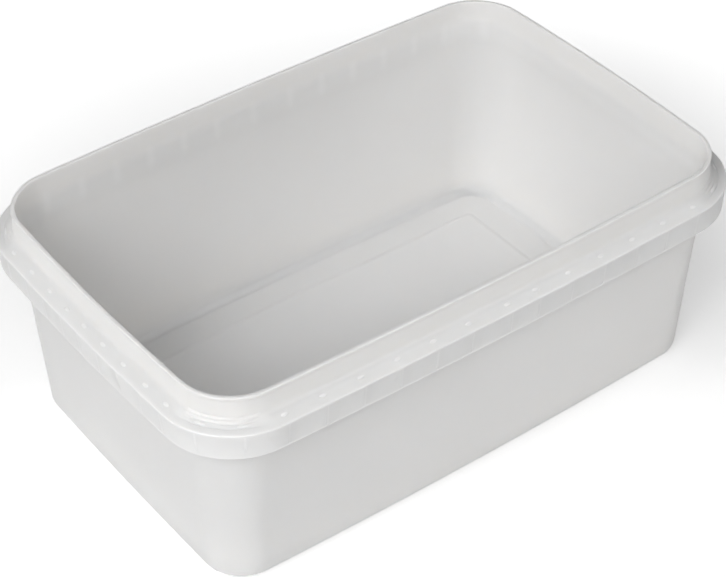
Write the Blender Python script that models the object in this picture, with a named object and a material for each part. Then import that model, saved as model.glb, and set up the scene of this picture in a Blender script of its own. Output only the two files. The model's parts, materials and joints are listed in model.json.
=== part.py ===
"""Rectangular catering tub for ice cream, moulded in one piece of thin translucent plastic.

Its foot stands on z = 0 with the middle of the base at the origin and the long sides along X.
"""

import math

import bmesh
import bpy
from mathutils import Matrix, Vector

MM = 0.001

# Rim, measured over the upright lip at the very top
TUB_HEIGHT = 105 * MM
LIP_LENGTH = 262 * MM
LIP_WIDTH = 168 * MM
LIP_CORNER = 22.5 * MM
LIP_THICKNESS = 1.9 * MM
LIP_BEAD_DROP = 1.2 * MM
LIP_BEAD_RELIEF = 0.6 * MM
LIP_EDGE_ROUND = 0.45 * MM
LIP_FOOT_OUT = 1.1 * MM
LIP_FOOT_DROP = 7.9 * MM
RIM_BOW_LONG = 2.4 * MM
RIM_BOW_SHORT = 2.5 * MM

# Sloping ledge and skirt outside the lip
SLOPE_OUT = 2.2 * MM
SLOPE_DROP = 10.1 * MM
SLOPE_UNDER_OUT = 1.8 * MM
SLOPE_UNDER_DROP = 11.0 * MM
LEDGE_OUT = 7.6 * MM
LEDGE_DROP = 12.0 * MM
LEDGE_EDGE_ROUND = 0.5 * MM
LEDGE_CORNER_EXTRA = 0.9 * MM
SKIRT_OUT = 6.4 * MM
SKIRT_DROP = 24.1 * MM
SKIRT_THICKNESS = 1.0 * MM
SKIRT_CORNER_EXTRA = -0.2 * MM
SKIRT_EDGE_ROUND = 0.3 * MM
UNDERSIDE_DROP = 10.2 * MM

# Body
WALL_THICKNESS = 0.95 * MM
BASE_LENGTH = 247.8 * MM
BASE_WIDTH = 153.8 * MM
BASE_CORNER = 16.9 * MM
BASE_BOW_LONG = 2.3 * MM
BASE_BOW_SHORT = 1.0 * MM
BASE_HEIGHT = 6.3 * MM
# The foot is a softened chamfer: millimetres in from the wall's outer face, and up from the table
FOOT_OUTSIDE = ((5.0, 0.0), (3.85, 0.25), (2.87, 0.88), (0.88, 2.87), (0.25, 3.85), (0.0, 5.0))
FOOT_INSIDE = ((0.95, 5.4), (1.2, 4.2), (1.7, 3.39), (3.99, 1.1))
FOOT_INSIDE_CORNER = -1.0 * MM

# Floor with its raised middle panel
FLOOR_THICKNESS = 1.1 * MM
PANEL_LENGTH = 210.4 * MM
PANEL_WIDTH = 120 * MM
PANEL_CORNER = 4.6 * MM
PANEL_RISE = 1.0 * MM
PANEL_DRAFT = 2.4 * MM
PANEL_UNDER_INSET = 0.2 * MM

# Stiffening ribs between the wall and the skirt, each showing as a low nub on the ledge
RIB_THICKNESS = 1.0 * MM
RIB_BOTTOM_DROP = 22.6 * MM
NUB_OUT = 3.9 * MM
NUB_LENGTH = 1.3 * MM
NUB_RISE = 0.3 * MM
RIB_BITE = 0.45 * MM
LONG_RIB_FIRST = 19.3 * MM
LONG_RIB_PITCH = 17.1 * MM
LONG_RIBS_EACH_WAY = 6
# Millimetres from the middle of a short side
SHORT_RIBS = (-44.8, -29.9, -15.6, -1.9, 15.6, 29.2, 43.5)
SHORT_RIB_ENDS = 58.4 * MM
CORNER_RIB_ANGLES = (28, 63)

# Steps along the outline of one quarter
LONG_STEPS = 5
CORNER_STEPS = 8
SHORT_STEPS = 4

SMOOTH_ANGLE = math.radians(35)


def clear_scene():
    for thing in list(bpy.data.objects):
        bpy.data.objects.remove(thing, do_unlink=True)


def quarter_stations():
    """(side, fraction) pairs from the middle of a long side, round a corner, to a short side."""
    stations = [("long", i / LONG_STEPS) for i in range(LONG_STEPS)]
    stations += [("corner", i / CORNER_STEPS) for i in range(CORNER_STEPS)]
    stations += [("short", i / SHORT_STEPS) for i in range(SHORT_STEPS)]
    return stations


def quarter_point(half_x, half_y, radius, side, fraction):
    """A point of the plain rounded rectangle in the quarter where x and y are positive."""
    straight_x = half_x - radius
    straight_y = half_y - radius
    if side == "long":
        return straight_x * fraction, half_y
    if side == "short":
        return half_x, straight_y * (1 - fraction)
    angle = math.radians(90) * (1 - fraction)
    return straight_x + radius * math.cos(angle), straight_y + radius * math.sin(angle)


def bowed(x, y, half_x, half_y, bow_long, bow_short):
    """The sides bow outwards a little, so the corners lie inside the plain rectangle."""
    moved_x = x - math.copysign(bow_short * (y / half_y) ** 2, x)
    moved_y = y - math.copysign(bow_long * (x / half_x) ** 2, y)
    return moved_x, moved_y


def outline(half_x, half_y, radius, bow_long, bow_short, z):
    """Closed ring of points, counter-clockwise from the middle of the +Y side seen from below."""
    quarter = [quarter_point(half_x, half_y, radius, *s) for s in quarter_stations()]
    flat = list(quarter)
    flat += [(x, -y) for x, y in reversed_quarter(half_x, half_y, radius)]
    flat += [(-x, -y) for x, y in quarter]
    flat += [(-x, y) for x, y in reversed_quarter(half_x, half_y, radius)]
    ring = []
    for x, y in flat:
        moved_x, moved_y = bowed(x, y, half_x, half_y, bow_long, bow_short)
        ring.append(Vector((moved_x, moved_y, z)))
    return ring


def reversed_quarter(half_x, half_y, radius):
    """The quarter walked from the short side back towards the long side, ends shared once."""
    stations = quarter_stations()[1:]
    walked = [quarter_point(half_x, half_y, radius, *s) for s in reversed(stations)]
    return [(half_x, 0.0)] + walked


def rim_ring(out, drop, corner_extra=0.0):
    return outline(
        LIP_LENGTH / 2 + out,
        LIP_WIDTH / 2 + out,
        LIP_CORNER + out + corner_extra,
        RIM_BOW_LONG,
        RIM_BOW_SHORT,
        TUB_HEIGHT - drop,
    )


def wall_size(z):
    """Half sizes, corner radius and bows of the outer wall face at height z."""
    share = (z - BASE_HEIGHT) / (TUB_HEIGHT - BASE_HEIGHT)
    lower = (BASE_LENGTH / 2, BASE_WIDTH / 2, BASE_CORNER, BASE_BOW_LONG, BASE_BOW_SHORT)
    upper = (LIP_LENGTH / 2, LIP_WIDTH / 2, LIP_CORNER, RIM_BOW_LONG, RIM_BOW_SHORT)
    return [a + (b - a) * share for a, b in zip(lower, upper)]


def wall_ring(z, inset=0.0):
    half_x, half_y, radius, bow_long, bow_short = wall_size(z)
    return outline(half_x - inset, half_y - inset, radius - inset, bow_long, bow_short, z)


def base_ring(inset, z, corner_extra=0.0):
    return outline(
        BASE_LENGTH / 2 - inset,
        BASE_WIDTH / 2 - inset,
        BASE_CORNER - inset + corner_extra,
        BASE_BOW_LONG,
        BASE_BOW_SHORT,
        z,
    )


def panel_ring(inset, z):
    return outline(
        PANEL_LENGTH / 2 - inset,
        PANEL_WIDTH / 2 - inset,
        PANEL_CORNER - inset,
        0.0,
        0.0,
        z,
    )


def outer_rings():
    """Underside of the floor, round the foot and up the outside to behind the skirt."""
    rings = [
        panel_ring(PANEL_UNDER_INSET + PANEL_DRAFT, PANEL_RISE),
        panel_ring(PANEL_UNDER_INSET, 0.0),
    ]
    for inset, rise in FOOT_OUTSIDE:
        rings.append(base_ring(inset * MM, rise * MM))
    rings.append(wall_ring(TUB_HEIGHT - UNDERSIDE_DROP))
    return rings


def skirt_rings():
    """From under the ledge, down inside the skirt, round its edge and up to the ledge."""
    inner_top = LEDGE_OUT - SKIRT_THICKNESS
    inner_bottom = SKIRT_OUT - SKIRT_THICKNESS
    chamfer = SKIRT_EDGE_ROUND
    edge = LEDGE_EDGE_ROUND
    return [
        rim_ring(SLOPE_UNDER_OUT, SLOPE_UNDER_DROP),
        rim_ring(inner_top, LEDGE_DROP + SKIRT_THICKNESS, LEDGE_CORNER_EXTRA),
        rim_ring(inner_bottom, SKIRT_DROP, SKIRT_CORNER_EXTRA),
        rim_ring(SKIRT_OUT - chamfer, SKIRT_DROP, SKIRT_CORNER_EXTRA),
        rim_ring(SKIRT_OUT, SKIRT_DROP - chamfer, SKIRT_CORNER_EXTRA),
        rim_ring(LEDGE_OUT, LEDGE_DROP + edge, LEDGE_CORNER_EXTRA),
        rim_ring(LEDGE_OUT - 0.3 * edge, LEDGE_DROP + 0.3 * edge, LEDGE_CORNER_EXTRA),
        rim_ring(LEDGE_OUT - edge, LEDGE_DROP, LEDGE_CORNER_EXTRA),
    ]


def lip_rings():
    """From the ledge, up the outside of the lip and over its rounded top."""
    bead_in = LIP_BEAD_RELIEF
    edge = LIP_EDGE_ROUND
    return [
        rim_ring(SLOPE_OUT, SLOPE_DROP),
        rim_ring(LIP_FOOT_OUT, LIP_FOOT_DROP),
        rim_ring(-bead_in, LIP_BEAD_DROP + bead_in),
        rim_ring(0.0, LIP_BEAD_DROP),
        rim_ring(0.0, edge),
        rim_ring(-edge, 0.0),
        rim_ring(edge - LIP_THICKNESS, 0.0),
        rim_ring(-LIP_THICKNESS, edge),
    ]


def inner_rings():
    """Down the inside to the floor and up onto the raised panel."""
    rings = [wall_ring(TUB_HEIGHT - SKIRT_DROP, WALL_THICKNESS)]
    for inset, rise in FOOT_INSIDE:
        share = (inset * MM - WALL_THICKNESS) / (FOOT_INSIDE[-1][0] * MM - WALL_THICKNESS)
        rings.append(base_ring(inset * MM, rise * MM, FOOT_INSIDE_CORNER * share))
    rings.append(panel_ring(0.0, FLOOR_THICKNESS))
    rings.append(panel_ring(PANEL_DRAFT, FLOOR_THICKNESS + PANEL_RISE))
    return rings


def loft(name, rings, collection):
    """Skin rings of equal length into one closed mesh with a flat face at each end."""
    form = bmesh.new()
    rows = [[form.verts.new(point) for point in ring] for ring in rings]
    count = len(rows[0])
    for lower, upper in zip(rows, rows[1:]):
        for i in range(count):
            j = (i + 1) % count
            form.faces.new((lower[i], lower[j], upper[j], upper[i]))
    form.faces.new(rows[0])
    form.faces.new(rows[-1])
    bmesh.ops.recalc_face_normals(form, faces=form.faces)
    mesh = bpy.data.meshes.new(name)
    form.to_mesh(mesh)
    form.free()
    shell = bpy.data.objects.new(name, mesh)
    collection.objects.link(shell)
    return shell


def rim_frame(side, place):
    """Point on the top outline of the lip and the outward direction there.

    place is x on a long side, y on a short side and an angle in degrees in a corner.
    """
    half_x = LIP_LENGTH / 2
    half_y = LIP_WIDTH / 2
    if side == "long":
        x, y = place, half_y
        normal = Vector((2 * RIM_BOW_LONG * place / half_x**2, 1.0, 0.0))
    elif side == "short":
        x, y = half_x, place
        normal = Vector((1.0, 2 * RIM_BOW_SHORT * place / half_y**2, 0.0))
    else:
        angle = math.radians(place)
        x = half_x - LIP_CORNER + LIP_CORNER * math.cos(angle)
        y = half_y - LIP_CORNER + LIP_CORNER * math.sin(angle)
        normal = Vector((math.cos(angle), math.sin(angle), 0.0))
    x, y = bowed(x, y, half_x, half_y, RIM_BOW_LONG, RIM_BOW_SHORT)
    return Vector((x, y, 0.0)), normal.normalized()


def rib_places():
    """Frames of every rib all round the rim."""
    long_places = [0.0]
    for i in range(LONG_RIBS_EACH_WAY):
        reach = LONG_RIB_FIRST + i * LONG_RIB_PITCH
        long_places += [reach, -reach]
    short_places = [place * MM for place in SHORT_RIBS] + [SHORT_RIB_ENDS, -SHORT_RIB_ENDS]
    frames = []
    for turn in (1, -1):
        for place in long_places:
            point, normal = rim_frame("long", place)
            frames.append((point * turn, normal * turn))
        for place in short_places:
            point, normal = rim_frame("short", -place)
            frames.append((point * turn, normal * turn))
        for flip in (1, -1):
            for angle in CORNER_RIB_ANGLES:
                point, normal = rim_frame("corner", angle)
                mirror = Vector((turn, turn * flip, 1.0))
                frames.append((point * mirror, normal * mirror))
    return frames


def ledge_height(out):
    """Height of the ledge's top face at a distance out from the lip."""
    share = (out - SLOPE_OUT) / (LEDGE_OUT - SLOPE_OUT)
    return TUB_HEIGHT - SLOPE_DROP - (LEDGE_DROP - SLOPE_DROP) * share


def rib_profile():
    """(out, height) corners of a rib in its own plane, its edges buried in the shell."""
    bottom = TUB_HEIGHT - RIB_BOTTOM_DROP
    draft = (LIP_LENGTH - BASE_LENGTH) / 2 / (TUB_HEIGHT - BASE_HEIGHT)
    nub_start = NUB_OUT + NUB_LENGTH / 2
    nub_end = NUB_OUT - NUB_LENGTH / 2
    return [
        (-RIB_BOTTOM_DROP * draft - RIB_BITE, bottom),
        (SKIRT_OUT - RIB_BITE, bottom),
        (LEDGE_OUT - RIB_BITE, TUB_HEIGHT - LEDGE_DROP - RIB_BITE),
        (nub_start + RIB_BITE, ledge_height(nub_start + RIB_BITE) - RIB_BITE),
        (nub_start, ledge_height(nub_start) + NUB_RISE),
        (nub_end, ledge_height(nub_end) + NUB_RISE),
        (nub_end - RIB_BITE, ledge_height(nub_end - RIB_BITE) - RIB_BITE),
        (-2 * RIB_BITE, TUB_HEIGHT - UNDERSIDE_DROP + RIB_BITE),
    ]


def rib_mesh():
    """One flat plate, standing in its own XZ plane with +X pointing away from the tub."""
    outline_curve = bpy.data.curves.new("rib_outline", "CURVE")
    outline_curve.dimensions = "2D"
    outline_curve.fill_mode = "BOTH"
    outline_curve.extrude = RIB_THICKNESS / 2
    spline = outline_curve.splines.new("POLY")
    corners = rib_profile()
    spline.points.add(len(corners) - 1)
    for point, (out, height) in zip(spline.points, corners):
        point.co = (out, height, 0.0, 1.0)
    spline.use_cyclic_u = True
    plate = bpy.data.objects.new("rib_outline", outline_curve)
    bpy.context.scene.collection.objects.link(plate)
    graph = bpy.context.evaluated_depsgraph_get()
    mesh = bpy.data.meshes.new_from_object(plate.evaluated_get(graph))
    mesh.name = "rib"
    bpy.data.objects.remove(plate, do_unlink=True)

    form = bmesh.new()
    form.from_mesh(mesh)
    bmesh.ops.remove_doubles(form, verts=form.verts, dist=0.001 * MM)
    bmesh.ops.rotate(form, verts=form.verts, matrix=Matrix.Rotation(math.radians(90), 3, "X"))
    bmesh.ops.recalc_face_normals(form, faces=form.faces)
    form.to_mesh(mesh)
    form.free()
    return mesh


def place_ribs(collection):
    mesh = rib_mesh()
    for number, (point, normal) in enumerate(rib_places()):
        rib = bpy.data.objects.new(f"rib_{number:02d}", mesh)
        rib.location = point
        rib.rotation_euler.z = math.atan2(normal.y, normal.x)
        rib.hide_render = True
        rib.display_type = "WIRE"
        collection.objects.link(rib)


def tub_plastic():
    plastic = bpy.data.materials.new("natural_polypropylene")
    plastic.use_nodes = True
    shader = plastic.node_tree.nodes["Principled BSDF"]
    shader.inputs["Base Color"].default_value = (0.80, 0.79, 0.79, 1.0)
    shader.inputs["Roughness"].default_value = 0.38
    shader.inputs["Metallic"].default_value = 0.0
    return plastic


def build():
    clear_scene()
    tub_collection = bpy.data.collections.new("ice_cream_tub")
    bpy.context.scene.collection.children.link(tub_collection)
    helpers = bpy.data.collections.new("rim_ribs")
    helpers.hide_render = True
    bpy.context.scene.collection.children.link(helpers)

    rings = outer_rings() + skirt_rings() + lip_rings() + inner_rings()
    tub = loft("tub", rings, tub_collection)
    place_ribs(helpers)

    joint = tub.modifiers.new("add_ribs", "BOOLEAN")
    joint.operation = "UNION"
    joint.solver = "EXACT"
    joint.operand_type = "COLLECTION"
    joint.collection = helpers

    tub.data.materials.append(tub_plastic())
    for face in tub.data.polygons:
        face.use_smooth = True
    tub.data.set_sharp_from_angle(angle=SMOOTH_ANGLE)


build()
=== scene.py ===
import json
import math

import bmesh
import bpy
from mathutils import Matrix, Vector

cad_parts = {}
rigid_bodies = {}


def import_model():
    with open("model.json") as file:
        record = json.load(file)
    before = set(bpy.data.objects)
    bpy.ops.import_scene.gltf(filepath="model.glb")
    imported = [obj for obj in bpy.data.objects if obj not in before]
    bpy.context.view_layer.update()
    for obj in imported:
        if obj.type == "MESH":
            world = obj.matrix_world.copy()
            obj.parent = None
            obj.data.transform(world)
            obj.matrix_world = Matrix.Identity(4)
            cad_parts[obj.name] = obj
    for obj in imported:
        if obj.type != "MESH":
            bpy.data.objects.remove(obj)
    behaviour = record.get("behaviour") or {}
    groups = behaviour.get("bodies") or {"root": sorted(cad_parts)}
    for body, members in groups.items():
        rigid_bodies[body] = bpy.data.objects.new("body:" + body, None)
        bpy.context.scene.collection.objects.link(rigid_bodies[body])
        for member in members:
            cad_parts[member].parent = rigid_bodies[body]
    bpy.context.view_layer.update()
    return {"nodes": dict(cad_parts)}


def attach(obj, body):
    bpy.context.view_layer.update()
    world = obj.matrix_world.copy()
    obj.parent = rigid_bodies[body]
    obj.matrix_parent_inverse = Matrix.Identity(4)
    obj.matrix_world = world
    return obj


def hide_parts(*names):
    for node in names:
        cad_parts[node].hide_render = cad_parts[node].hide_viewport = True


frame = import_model()
bpy.ops.object.select_all(action="DESELECT")
print("frame loaded:", ", ".join(frame["nodes"]))

mm = 0.001

# Sizes of the tub in millimetres. "out" is measured from the lip's outer face, "drop" from its top.
tub = {
    "height": 105.0,
    "lip": {"length": 262.0, "width": 168.0, "corner": 22.5, "bowLong": 2.4, "bowShort": 2.5},
    "base": {"length": 247.8, "width": 153.8, "corner": 16.9, "bowLong": 2.3, "bowShort": 1.0},
    "panel": {"length": 210.4, "width": 117.4, "corner": 3.4, "bowLong": 0.0, "bowShort": 0.0,
              "bulge": 1.3},
    "baseHeight": 6.3,  # where the base's outline is measured
    "wall": 0.95,
    "floor": 1.1,
    "outsideHeights": (30.0, 55.0, 80.0, 94.8),  # rows of the wall, going up
    "insideHeights": (80.9, 55.0, 30.0),  # and coming down again
    "panelRise": 1.0,
    "panelDraft": 2.4,
    "panelUnderInset": 0.2,
    "panelRound": 0.6,
    "bulgeReach": 30.0,
    "sharpestCorner": 0.4,
    "footRound": 3.0,  # softens both ends of the chamfered foot outside
    "footArcs": ((0, 5.0, 3.0), (45, 3.0, 5.0)),  # lean in degrees, in from the wall, up
    "footSteps": 5,
    # in from the wall's outer face, up, and extra corner radius; the plastic is thinner here
    "footInside": [(0.95, 12.0, 0.0), (0.88, 8.5, 0.0), (0.83, 6.2, 0.0), (0.95, 4.8, -0.1),
                   (1.35, 3.35, -0.3), (1.85, 2.75, -0.5), (3.3, 1.45, -1.1), (4.1, 1.0, -1.5),
                   (4.8, 0.88, -1.9), (5.4, 0.9, -2.2), (6.1, 1.1, -2.5)],
    "steps": {"long": 12, "corner": 20, "short": 8},  # along the outline of one quarter
    "treadFade": 0.2,  # share of a corner over which the treads run out
    "widestRound": 0.6,  # a row's own round is a share of this
    "roundSteps": 3,
    "creaseAngle": 32,  # degrees; flatter edges are shaded smooth
}

# The rim from under the ledge to the top of the lip: out, drop, round, extra corner radius,
# and how far the row moves (out, drop) where the ledge is stepped round the corners.
rim = [
    (1.8, 11.0, 0.2, 0.0, -0.4, 0.8),
    (6.6, 13.0, 0.3, 0.9, 0.0, 0.0),
    (5.4, 24.1, 0.25, -0.2, 0.0, 0.0),
    (6.62, 24.1, 0.2, -0.2, 0.0, 0.0),
    (6.62, 23.7, 0.12, -0.2, 0.0, 0.0),
    (6.45, 23.3, 0.0, -0.2, 0.0, 0.0),
    (7.6, 12.0, 0.55, 0.9, 0.0, 0.0),
    (5.2, 11.15, 0.0, 0.0, -0.6, 0.65),
    (4.7, 10.98, 0.0, 0.0, -1.0, 0.77),
    (4.0, 10.73, 0.0, 0.0, -0.5, 0.71),
    (3.3, 10.5, 0.0, 0.0, -0.95, 0.55),
    (2.4, 10.2, 0.0, 0.0, -0.3, 0.15),
    (1.45, 9.7, 0.0, 0.0, -0.15, 0.25),
    (0.75, 8.9, 0.0, 0.0, 0.3, 0.25),
    (0.3, 7.6, 0.0, 0.0, 0.0, 1.1),
    (-0.45, 1.85, 0.12, 0.0, 0.0, 0.0),
    (0.0, 1.25, 0.12, 0.0, 0.0, 0.0),
    (0.0, 0.0, 0.3, 0.0, 0.0, 0.0),
    (-1.9, 0.0, 0.3, 0.0, 0.0, 0.0),
]


def blendForms(lower, upper, share):
    return {key: lower[key] + (upper[key] - lower[key]) * share for key in upper}


def wallForm(height):
    share = (height - tub["baseHeight"]) / (tub["height"] - tub["baseHeight"])
    return blendForms(tub["base"], tub["lip"], share)


def shellRow(form, out, height, soft=0.0, extra=0.0, stepOut=0.0, stepDown=0.0):
    return {"form": form, "out": out, "height": height, "soft": soft,
            "extra": extra, "stepOut": stepOut, "stepDown": stepDown}


def footArc(lean, inset, rise):
    # points of an eighth of a circle round (inset, rise), from the table side upwards
    turns = [math.radians(lean + 45 * i / tub["footSteps"]) for i in range(tub["footSteps"] + 1)]
    return [(inset - tub["footRound"] * math.sin(turn), rise - tub["footRound"] * math.cos(turn))
            for turn in turns]


def shellRows():
    # one row for each ring of points, from the middle of the underside to the middle of the floor
    panel, base, lip = tub["panel"], tub["base"], tub["lip"]
    draft, under, soft = tub["panelDraft"], tub["panelUnderInset"], tub["panelRound"]
    rows = [shellRow(panel, -draft - under, tub["panelRise"], soft),
            shellRow(panel, -under, 0.0, soft)]
    for lean, inset, rise in tub["footArcs"]:
        for x, z in footArc(lean, inset, rise):
            rows.append(shellRow(base, -x, z))
    for height in tub["outsideHeights"]:
        rows.append(shellRow(wallForm(height), 0.0, height))
    for out, drop, *others in rim:
        rows.append(shellRow(lip, out, tub["height"] - drop, *others))
    for height in tub["insideHeights"]:
        rows.append(shellRow(wallForm(height), -tub["wall"], height))
    for x, z, extra in tub["footInside"]:
        rows.append(shellRow(base, -x, z, 0.0, extra))
    rows.append(shellRow(panel, 0.0, tub["floor"], soft))
    rows.append(shellRow(panel, -draft, tub["floor"] + tub["panelRise"], soft))
    return rows


def quarterStations():
    # which side each point of a quarter lies on, and how far along it
    found = []
    for side in ("long", "corner", "short"):
        found += [(side, i / tub["steps"][side]) for i in range(tub["steps"][side])]
    return found + [("short", 1.0)]


stations = quarterStations()
quarterCount = len(stations) - 1


def stationOf(index):
    # quarters are walked by turns forwards and backwards, so that neighbours share their ends
    quarter, step = divmod(index, quarterCount)
    return quarter, *stations[quarterCount - step if quarter % 2 else step]


def outlinePoint(index, form, out, extra=0.0):
    quarter, side, share = stationOf(index)
    signX, signY = ((1, 1), (1, -1), (-1, -1), (-1, 1))[quarter]
    halfX = form["length"] / 2 + out
    halfY = form["width"] / 2 + out
    radius = max(form["corner"] + out + extra, tub["sharpestCorner"])
    if side == "long":
        x, y = (halfX - radius) * share, halfY
    elif side == "short":
        x, y = halfX, (halfY - radius) * (1 - share)
    else:
        angle = math.radians(90) * (1 - share)
        x = halfX - radius + radius * math.cos(angle)
        y = halfY - radius + radius * math.sin(angle)
    bowedX = x - form["bowShort"] * (y / halfY) ** 2
    bowedY = y - form["bowLong"] * (x / halfX) ** 2
    if side == "long":
        bowedY += form.get("bulge", 0.0) * math.exp(-(x / tub["bulgeReach"]) ** 2)
    return bowedX * signX, bowedY * signY


def cornerShare(index):
    # 1 round a corner, falling to 0 at its ends
    side, share = stationOf(index)[1:]
    if side != "corner":
        return 0.0
    edge = min(min(share, 1 - share) / tub["treadFade"], 1.0)
    return edge * edge * (3 - 2 * edge)


def placeRing(mesh, row):
    # the ring that was just extruded is all that is selected
    editing = bmesh.from_edit_mesh(mesh)
    station = editing.verts.layers.int["station"]
    for point in editing.verts:
        if point.select:
            share = cornerShare(point[station])
            x, y = outlinePoint(point[station], row["form"], row["out"] + row["stepOut"] * share,
                                row["extra"])
            point.co = Vector((x, y, row["height"] - row["stepDown"] * share)) * mm
    bmesh.update_edit_mesh(mesh)


def makeShell():
    count = 4 * quarterCount
    bpy.ops.mesh.primitive_circle_add(vertices=count, radius=0.1, fill_type="NGON")
    shell = bpy.context.object
    shell.name = "tubShell"
    mesh = shell.data
    station = mesh.attributes.new("station", "INT", "POINT")
    for i in range(count):
        station.data[i].value = i
    rows = shellRows()
    bpy.ops.object.mode_set(mode="EDIT")
    bpy.ops.mesh.select_all(action="SELECT")
    placeRing(mesh, rows[0])
    for row in rows[1:]:
        bpy.ops.mesh.extrude_region_move()
        placeRing(mesh, row)
    bpy.ops.mesh.select_all(action="SELECT")
    bpy.ops.mesh.normals_make_consistent(inside=False)
    bpy.ops.object.mode_set(mode="OBJECT")

    # the edges of a row that is rounded carry its share of the widest round
    weight = mesh.attributes.new("bevel_weight_edge", "FLOAT", "EDGE")
    for edge in mesh.edges:
        first, second = (v // count for v in edge.vertices)
        if first == second:
            weight.data[edge.index].value = rows[first]["soft"] / tub["widestRound"]
    bevel = shell.modifiers.new("softEdges", "BEVEL")
    bevel.limit_method = "WEIGHT"
    bevel.width = tub["widestRound"] * mm
    bevel.segments = tub["roundSteps"]
    bevel.use_clamp_overlap = True
    bpy.ops.object.modifier_apply(modifier=bevel.name)
    print("shell:", len(mesh.polygons), "faces")
    return shell


# Stiffening ribs between the wall and the skirt, with a low nub on the ledge over each.
# An outline is out and drop. A nub has its place, its size across, along and up, and its lean.
ribs = {
    "thick": 0.8,
    "sideForm": {
        "outline": [(-2.08, 22.6), (5.6, 22.6), (5.8, 23.1), (6.52, 23.1), (7.55, 13.0),
                    (7.15, 12.45), (2.4, 10.65), (-0.9, 9.75)],
        "nub": {"place": (3.9, 10.72), "size": (0.8, 1.6, 0.27), "lean": 19.4},
    },
    "cornerForm": {
        "outline": [(-2.2, 22.6), (5.6, 22.6), (5.8, 23.1), (6.6, 23.1), (7.4, 13.0),
                    (7.15, 12.45), (1.6, 12.0), (-0.9, 10.6)],
        "nub": {"place": (2.95, 11.3), "size": (0.6, 2.4, 0.33), "lean": 19.0},
    },
    "long": [0.0] + [19.3 + 17.1 * i for i in range(6)],  # either way from the middle
    "short": [-58.4, -44.8, -29.9, -15.6, -1.9, 15.6, 29.2, 43.5, 58.4],
    "corner": [28, 63],  # degrees round the corner from the short side
    "skirtOut": 7.0,  # where a rib meets the skirt
    "skirtCornerExtra": 0.35,
    "paintedLight": {"shell": 0.0, "rib": 0.5, "nub": 1.0},  # how much painted light each carries: a painted highlight on a nub, painted light along a rib
}


def ribFrame(side, place):
    # a rib is set by where it meets the skirt, then measured from the lip's outline
    lip, out = tub["lip"], ribs["skirtOut"]
    halfX, halfY = lip["length"] / 2 + out, lip["width"] / 2 + out
    corner = lip["corner"] + out + ribs["skirtCornerExtra"]
    if side == "long":
        x, y = place, halfY
        outwards = Vector((2 * lip["bowLong"] * place / halfX ** 2, 1.0))
    elif side == "short":
        x, y = halfX, place
        outwards = Vector((1.0, 2 * lip["bowShort"] * place / halfY ** 2))
    else:
        angle = math.radians(place)
        outwards = Vector((math.cos(angle), math.sin(angle)))
        x = halfX - corner + corner * outwards.x
        y = halfY - corner + corner * outwards.y
    outwards.normalize()
    bowedX = x - math.copysign(lip["bowShort"] * (y / halfY) ** 2, x)
    bowedY = y - math.copysign(lip["bowLong"] * (x / halfX) ** 2, y)
    return Vector((bowedX, bowedY)) - outwards * out, outwards


def ribFrames():
    # the opposite sides are each other turned half round, and the corners are mirrored
    frames = []
    for turn in (1, -1):
        for place in ribs["long"]:
            for way in ((1, -1) if place else (1,)):
                frames.append([v * turn for v in ribFrame("long", place * way)] + ["sideForm"])
        for place in ribs["short"]:
            frames.append([v * turn for v in ribFrame("short", -place)] + ["sideForm"])
        for flip in (1, -1):
            for place in ribs["corner"]:
                mirror = Vector((turn, turn * flip))
                frames.append([v * mirror for v in ribFrame("corner", place)] + ["cornerForm"])
    return frames


def makeRibPlate(outline):
    bpy.ops.mesh.primitive_circle_add(vertices=len(outline), radius=0.01, fill_type="NGON")
    plate = bpy.context.object
    plate.name = "ribPlate"
    for point, (out, drop) in zip(plate.data.vertices, outline):
        point.co = Vector((out, -ribs["thick"] / 2, tub["height"] - drop)) * mm
    bpy.ops.object.mode_set(mode="EDIT")
    bpy.ops.mesh.select_all(action="SELECT")
    bpy.ops.mesh.extrude_region_move(
        TRANSFORM_OT_translate={"value": (0.0, ribs["thick"] * mm, 0.0)})
    bpy.ops.mesh.select_all(action="SELECT")
    bpy.ops.mesh.normals_make_consistent(inside=False)
    bpy.ops.object.mode_set(mode="OBJECT")
    return plate


def makeNub(form):
    # a flattened ball that lies in the slope of the ledge
    out, drop = form["place"]
    bpy.ops.mesh.primitive_uv_sphere_add(segments=20, ring_count=10, radius=mm)
    nub = bpy.context.object
    nub.name = "ribNub"
    nub.data.transform(Matrix.Translation(Vector((out, 0.0, tub["height"] - drop)) * mm)
                       @ Matrix.Rotation(math.radians(form["lean"]), 4, "Y")
                       @ Matrix.Diagonal((*form["size"], 1.0)))
    return nub


def paintLightOnFaces(thing, kind):
    # the share of painted light on each face: the plastic reads this, and the union keeps it
    mark = thing.data.attributes.new("ribPaintedLight", "FLOAT", "FACE")
    for face in mark.data:
        face.value = ribs["paintedLight"][kind]


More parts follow.
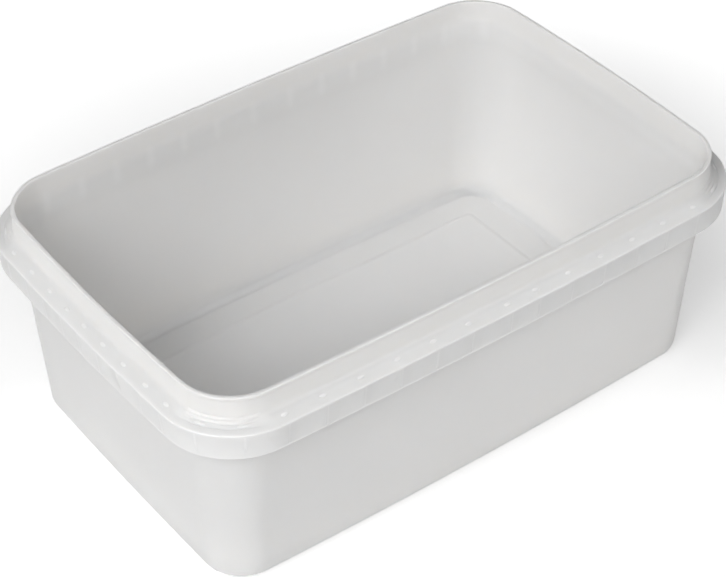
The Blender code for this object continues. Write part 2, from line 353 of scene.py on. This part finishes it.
def addRibs(shell):
    paintLightOnFaces(shell, "shell")
    parts = {}
    for name in ("sideForm", "cornerForm"):
        parts[name] = makeRibPlate(ribs[name]["outline"]), makeNub(ribs[name]["nub"])
        paintLightOnFaces(parts[name][0], "rib")
        paintLightOnFaces(parts[name][1], "nub")
    holder = bpy.data.collections.new("ribPlates")
    bpy.context.scene.collection.children.link(holder)
    for place, outwards, name in ribFrames():
        turned = Matrix.Rotation(math.atan2(outwards.y, outwards.x), 4, "Z")
        for part in parts[name]:
            rib = part.copy()
            rib.data = part.data.copy()
            rib.data.transform(Matrix.Translation((place.x * mm, place.y * mm, 0.0)) @ turned)
            holder.objects.link(rib)
    for plate, nub in parts.values():
        bpy.data.objects.remove(plate)
        bpy.data.objects.remove(nub)
    bpy.ops.object.select_all(action="DESELECT")
    bpy.context.view_layer.objects.active = shell
    shell.select_set(True)
    union = shell.modifiers.new("weldRibs", "BOOLEAN")
    union.operation = "UNION"
    union.solver = "EXACT"
    union.operand_type = "COLLECTION"
    union.collection = holder
    bpy.ops.object.modifier_apply(modifier=union.name)
    for rib in list(holder.objects):
        bpy.data.objects.remove(rib)
    bpy.data.collections.remove(holder)
    bpy.ops.object.shade_smooth_by_angle(angle=math.radians(tub["creaseAngle"]))
    print("with ribs:", len(shell.data.polygons), "faces")


plastic = {
    "colour": (0.85, 0.841, 0.829),
    "cloudShade": 0.975,  # of the colour, where the cloud is darkest
    "cloudScale": 28.0,
    "cloudDetail": 4.0,
    "paintedLift": 0.08,  # painted light added to the colour: a painted highlight over a nub, and a share of it along a rib
    # Painted light on the inside of the wall where the skirt backs it, fading in and out at these
    # heights in metres, and a little more painted light in a streak at each rib of the long walls.
    "paintedBandHeights": ((0.083, 0.090), (0.093, 0.099)),
    "paintedBandShare": 0.5,
    "paintedStreakShare": 0.4,
    "paintedStreakReach": 0.0032,
    "longWallFrom": 0.07,
    "roughness": (0.28, 0.38),
    "ior": 1.49,
    "scatter": (1.0, 0.97, 0.93),
    "depth": 0.003,
}


def calcNode(tree, operation, first, second=0.0):
    node = tree.nodes.new("ShaderNodeMath")
    node.operation = operation
    for socket, value in zip(node.inputs, (first, second)):
        if isinstance(value, (int, float)):
            socket.default_value = value
        else:
            tree.links.new(value, socket)
    return node.outputs[0]


def rangeNode(tree, value, reach, result, style="SMOOTHSTEP"):
    node = tree.nodes.new("ShaderNodeMapRange")
    node.interpolation_type = style
    for name, ends in (("From", reach), ("To", result)):
        node.inputs[name + " Min"].default_value, node.inputs[name + " Max"].default_value = ends
    tree.links.new(value, node.inputs["Value"])
    return node.outputs["Result"]


def paintedBackedLight(tree, place):
    # painted light on the inside of the wall where the skirt and the ribs stand behind it
    split = tree.nodes.new("ShaderNodeSeparateXYZ")
    tree.links.new(place, split.inputs["Vector"])
    facing = tree.nodes.new("ShaderNodeVectorMath")
    facing.operation = "DOT_PRODUCT"
    normal = tree.nodes.new("ShaderNodeNewGeometry").outputs["Normal"]
    tree.links.new(normal, facing.inputs[0])
    tree.links.new(place, facing.inputs[1])
    inside = calcNode(tree, "LESS_THAN", facing.outputs["Value"], 0.0)

    bottom, top = plastic["paintedBandHeights"]
    band = calcNode(tree, "MULTIPLY", rangeNode(tree, split.outputs["Z"], bottom, (0.0, 1.0)),
                    rangeNode(tree, split.outputs["Z"], top, (1.0, 0.0)))

    # how far the nearest rib is along the wall; past the middle one they are evenly spaced
    along = calcNode(tree, "ABSOLUTE", split.outputs["X"])
    halfGap = (ribs["long"][2] - ribs["long"][1]) / 2 * mm
    pastFirst = calcNode(tree, "SUBTRACT", along, ribs["long"][1] * mm)
    pastFirst = calcNode(tree, "MAXIMUM", pastFirst, -halfGap)
    nearest = calcNode(tree, "PINGPONG", pastFirst, halfGap)
    nearest = calcNode(tree, "MINIMUM", nearest, along)
    streak = rangeNode(tree, nearest, (0.0, plastic["paintedStreakReach"]), (1.0, 0.0))
    across = calcNode(tree, "ABSOLUTE", split.outputs["Y"])
    onLong = calcNode(tree, "GREATER_THAN", across, plastic["longWallFrom"])
    streak = calcNode(tree, "MULTIPLY", streak, onLong)

    backed = calcNode(tree, "MULTIPLY", streak, plastic["paintedStreakShare"])
    backed = calcNode(tree, "ADD", plastic["paintedBandShare"], backed)
    return calcNode(tree, "MULTIPLY", calcNode(tree, "MULTIPLY", band, inside), backed)


def makePlastic():
    material = bpy.data.materials.new("milkyPlastic")
    material.use_nodes = True
    tree = material.node_tree
    nodes, links = tree.nodes, tree.links
    shader = nodes["Principled BSDF"]
    shader.inputs["Subsurface Weight"].default_value = 1.0
    shader.inputs["Subsurface Radius"].default_value = plastic["scatter"]
    shader.inputs["Subsurface Scale"].default_value = plastic["depth"]
    shader.inputs["IOR"].default_value = plastic["ior"]

    # a faint cloudiness in the colour, with the sheen following it
    place = nodes.new("ShaderNodeTexCoord").outputs["Object"]
    cloud = nodes.new("ShaderNodeTexNoise")
    cloud.inputs["Scale"].default_value = plastic["cloudScale"]
    cloud.inputs["Detail"].default_value = plastic["cloudDetail"]
    links.new(place, cloud.inputs["Vector"])
    tint = nodes.new("ShaderNodeMix")
    tint.data_type = "RGBA"
    tint.inputs["A"].default_value = (*[c * plastic["cloudShade"] for c in plastic["colour"]], 1.0)
    tint.inputs["B"].default_value = (*plastic["colour"], 1.0)
    links.new(cloud.outputs["Fac"], tint.inputs["Factor"])
    sheen = rangeNode(tree, cloud.outputs["Fac"], (0.0, 1.0), plastic["roughness"], "LINEAR")
    links.new(sheen, shader.inputs["Roughness"])

    # painted light added to the colour: a painted highlight on each nub, painted light along each
    # rib, and painted light on the inside of the wall where the skirt backs it
    mark = nodes.new("ShaderNodeAttribute")
    mark.attribute_name = "ribPaintedLight"
    paintedLift = nodes.new("ShaderNodeMix")
    paintedLift.data_type = "RGBA"
    paintedLift.blend_type = "ADD"
    paintedLift.inputs["B"].default_value = (*[plastic["paintedLift"]] * 3, 1.0)
    share = calcNode(tree, "ADD", mark.outputs["Fac"], paintedBackedLight(tree, place))
    links.new(share, paintedLift.inputs["Factor"])
    links.new(tint.outputs["Result"], paintedLift.inputs["A"])
    links.new(paintedLift.outputs["Result"], shader.inputs["Base Color"])
    print("plastic:", len(nodes), "nodes")
    return material


tubShell = makeShell()
addRibs(tubShell)
tubShell.data.materials.append(makePlastic())
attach(tubShell, "root")
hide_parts("tub")

studio = {
    "ambient": 0.1,
    "cardRoughness": 0.9,
    "floorSize": 6.0,
    "floorGrey": 0.9,
    "floorGlow": (0.3, 1.0),  # beside the tub, and well away from it
    "glowReach": (0.15, 0.6),
    "bounceSize": 3.0,
    "bounceGrey": 0.8,
    "bounceLow": -0.0005,
    "lampSize": 1.3,
    "lampDistance": 2.5,
    "lampAim": (0.0, 0.0, 0.05),
    # degrees round from the tub's left end towards its front, degrees up, and watts
    "lamps": {"leftPanel": (15, 38, 26.5), "cornerPanel": (50, 38, 20.5),
              "frontPanel": (120, 38, 10.8), "topPanel": (-20, 62, 10.4)},
}


def plainCard(name, size, grey, low=0.0):
    bpy.ops.mesh.primitive_plane_add(size=size, location=(0.0, 0.0, low))
    card = bpy.context.object
    card.name = name
    paint = bpy.data.materials.new(name + "Paint")
    paint.use_nodes = True
    shader = paint.node_tree.nodes["Principled BSDF"]
    shader.inputs["Base Color"].default_value = (grey, grey, grey, 1.0)
    shader.inputs["Roughness"].default_value = studio["cardRoughness"]
    card.data.materials.append(paint)
    return card, paint.node_tree, shader


def makeFloor():
    floor, tree, shader = plainCard("studioFloor", studio["floorSize"], studio["floorGrey"])
    shader.inputs["Emission Color"].default_value = (1.0, 1.0, 1.0, 1.0)
    place = tree.nodes.new("ShaderNodeTexCoord")
    away = tree.nodes.new("ShaderNodeVectorMath")
    away.operation = "LENGTH"
    tree.links.new(place.outputs["Object"], away.inputs[0])
    glow = rangeNode(tree, away.outputs["Value"], studio["glowReach"], studio["floorGlow"])
    tree.links.new(glow, shader.inputs["Emission Strength"])
    floor.visible_diffuse = False  # the white sweep itself doesn't light the tub from below
    floor.visible_glossy = False
    floor.visible_shadow = False
    # what the table throws back, with the tub's shadow in it, comes from a card in the floor
    card = plainCard("bounceCard", studio["bounceSize"], studio["bounceGrey"],
                     studio["bounceLow"])[0]
    card.visible_camera = False


def makeLamps():
    world = bpy.data.worlds.new("softRoom")
    bpy.context.scene.world = world
    world.use_nodes = True
    world.node_tree.nodes["Background"].inputs["Color"].default_value = (
        *[studio["ambient"]] * 3, 1.0)
    aim = Vector(studio["lampAim"])
    for name, (turn, rise, power) in studio["lamps"].items():
        turn, rise = math.radians(turn), math.radians(rise)
        way = Vector((-math.cos(turn) * math.cos(rise), -math.sin(turn) * math.cos(rise),
                      math.sin(rise)))
        light = bpy.data.lights.new(name, "AREA")
        light.size = studio["lampSize"]
        light.energy = power
        lamp = bpy.data.objects.new(name, light)
        lamp.location = aim + way * studio["lampDistance"]
        lamp.rotation_euler = way.to_track_quat("Z", "Y").to_euler()
        bpy.context.scene.collection.objects.link(lamp)
    print("studio:", len(studio["lamps"]), "lamps")


# the camera's turn in degrees, its distance and aim in metres, and its lens in millimetres
shot = {
    "azimuth": -36.45,
    "elevation": 39.75,
    "roll": -0.58,
    "distance": 0.9063,
    "aim": (-0.00642, -0.00592, 0.0524),
    "lens": 106.65,
    "sensor": 36.0,
}


def makeCamera():
    lens = bpy.data.cameras.new("productCamera")
    lens.lens = shot["lens"]
    lens.sensor_width = shot["sensor"]
    camera = bpy.data.objects.new("productCamera", lens)
    turned = (Matrix.Rotation(math.radians(shot["azimuth"]), 3, "Z")
              @ Matrix.Rotation(math.radians(90 - shot["elevation"]), 3, "X")
              @ Matrix.Rotation(math.radians(shot["roll"]), 3, "Z"))
    camera.rotation_euler = turned.to_euler()
    camera.location = Vector(shot["aim"]) + turned @ Vector((0, 0, shot["distance"]))
    bpy.context.scene.collection.objects.link(camera)
    bpy.context.scene.camera = camera
    print("camera:", shot["lens"], "mm lens")


makeFloor()
makeLamps()
makeCamera()
bpy.context.scene.view_settings.view_transform = "Standard"
